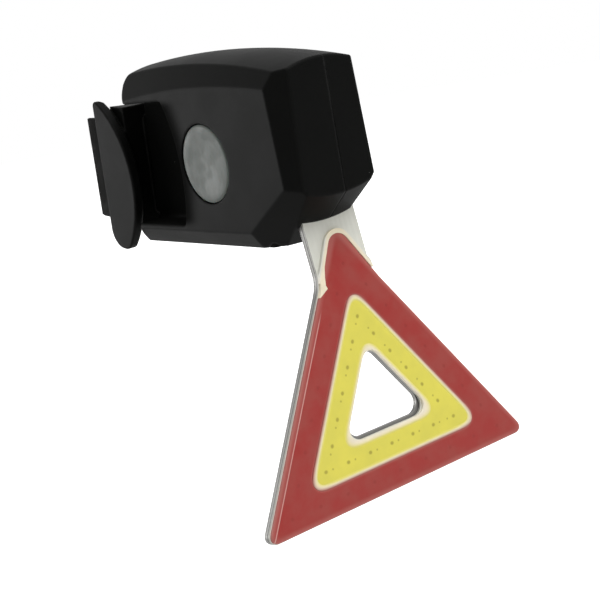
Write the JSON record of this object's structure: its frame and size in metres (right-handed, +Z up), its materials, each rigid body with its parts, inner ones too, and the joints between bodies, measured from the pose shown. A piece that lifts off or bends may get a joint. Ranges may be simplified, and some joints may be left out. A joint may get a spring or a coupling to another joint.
{
  "type": "bike tail light",
  "caption": "Seat-post tail light: slim seamed case with a side push button and a hanging triangular light board in red and yellow around an open middle",
  "frame": {"origin": "on the seat post's axis, level with the middle of the rubber pad in the bracket's saddle", "axes": "+X to the rider's right, +Y forward in the riding direction, +Z up; the post's axis leans back by 5.6 degrees from +Z"},
  "size_m": [0.0578, 0.0692, 0.0775],
  "materials": {
    "white_mask": "satin white solder mask on a thin circuit",
    "bond_film": "thin dark adhesive film",
    "plate_aluminium": "punched edge, brushed face",
    "cream_dam": "smooth cream silicone bead",
    "red_gel": "soft satin silicone, slightly cloudy",
    "yellow_gel": "soft satin silicone, slightly cloudy",
    "light_chip": "small moulded chip",
    "solder": "bright tinned pad",
    "board_green": "satin solder mask",
    "screw_steel": "turned and plated",
    "chip_black": "matte moulded",
    "chip_brown": "matte ceramic",
    "cell_foil": "dull foil pouch",
    "foam_black": "soft open foam",
    "case_black": "fine moulded grain",
    "seal_rubber": "smooth matte rubber",
    "button_frosted": "frosted translucent grey",
    "wire_red": "soft silicone insulation"
  },
  "bodies": {
    "root": {"lamp_circuit": "white_mask", "lamp_bond": "bond_film", "lamp_plate": "plate_aluminium", "outer_dam": "cream_dam", "inner_dam": "cream_dam", "tip_dam": "cream_dam", "red_gel": "red_gel", "yellow_gel": "yellow_gel", "yellow_chips": "light_chip", "red_chips": "light_chip", "solder_pads": "solder", "circuit_board": "board_green", "board_screws": "screw_steel", "status_lamps": "light_chip", "controller_chip": "chip_black", "charger_chip": "chip_black", "driver_coil": "chip_black", "small_parts": "chip_brown", "cell": "cell_foil", "cell_board": "board_green", "cell_foam": "foam_black", "left_shell": "case_black", "right_shell": "case_black", "case_seal": "seal_rubber", "case_screws": "screw_steel", "stem_seal": "seal_rubber", "button_seal": "seal_rubber", "switch_frame": "screw_steel", "switch_dome": "screw_steel", "charging_socket": "screw_steel", "socket_tongue": "chip_black", "flap_pin": "screw_steel", "lamp_wires": "wire_red", "cell_wires": "wire_red", "post_bracket": "case_black", "post_pad": "seal_rubber"},
    "power_button": {"button_cap": "button_frosted", "switch_plunger": "chip_black"},
    "port_flap": {"charging_flap": "seal_rubber"}
  },
  "joints": [
    {"name": "button_press", "type": "slide", "parent": "root", "child": "power_button", "axis": [1, 0, 0], "range_m": [0, 0.0005], "stiffness_N_per_m": 3000},
    {"name": "flap_hinge", "type": "hinge", "parent": "root", "child": "port_flap", "pos_m": [-0.0048, -0.04302, -0.01483], "axis": [1, 0, 0], "range_deg": [0, 100]}
  ]
}
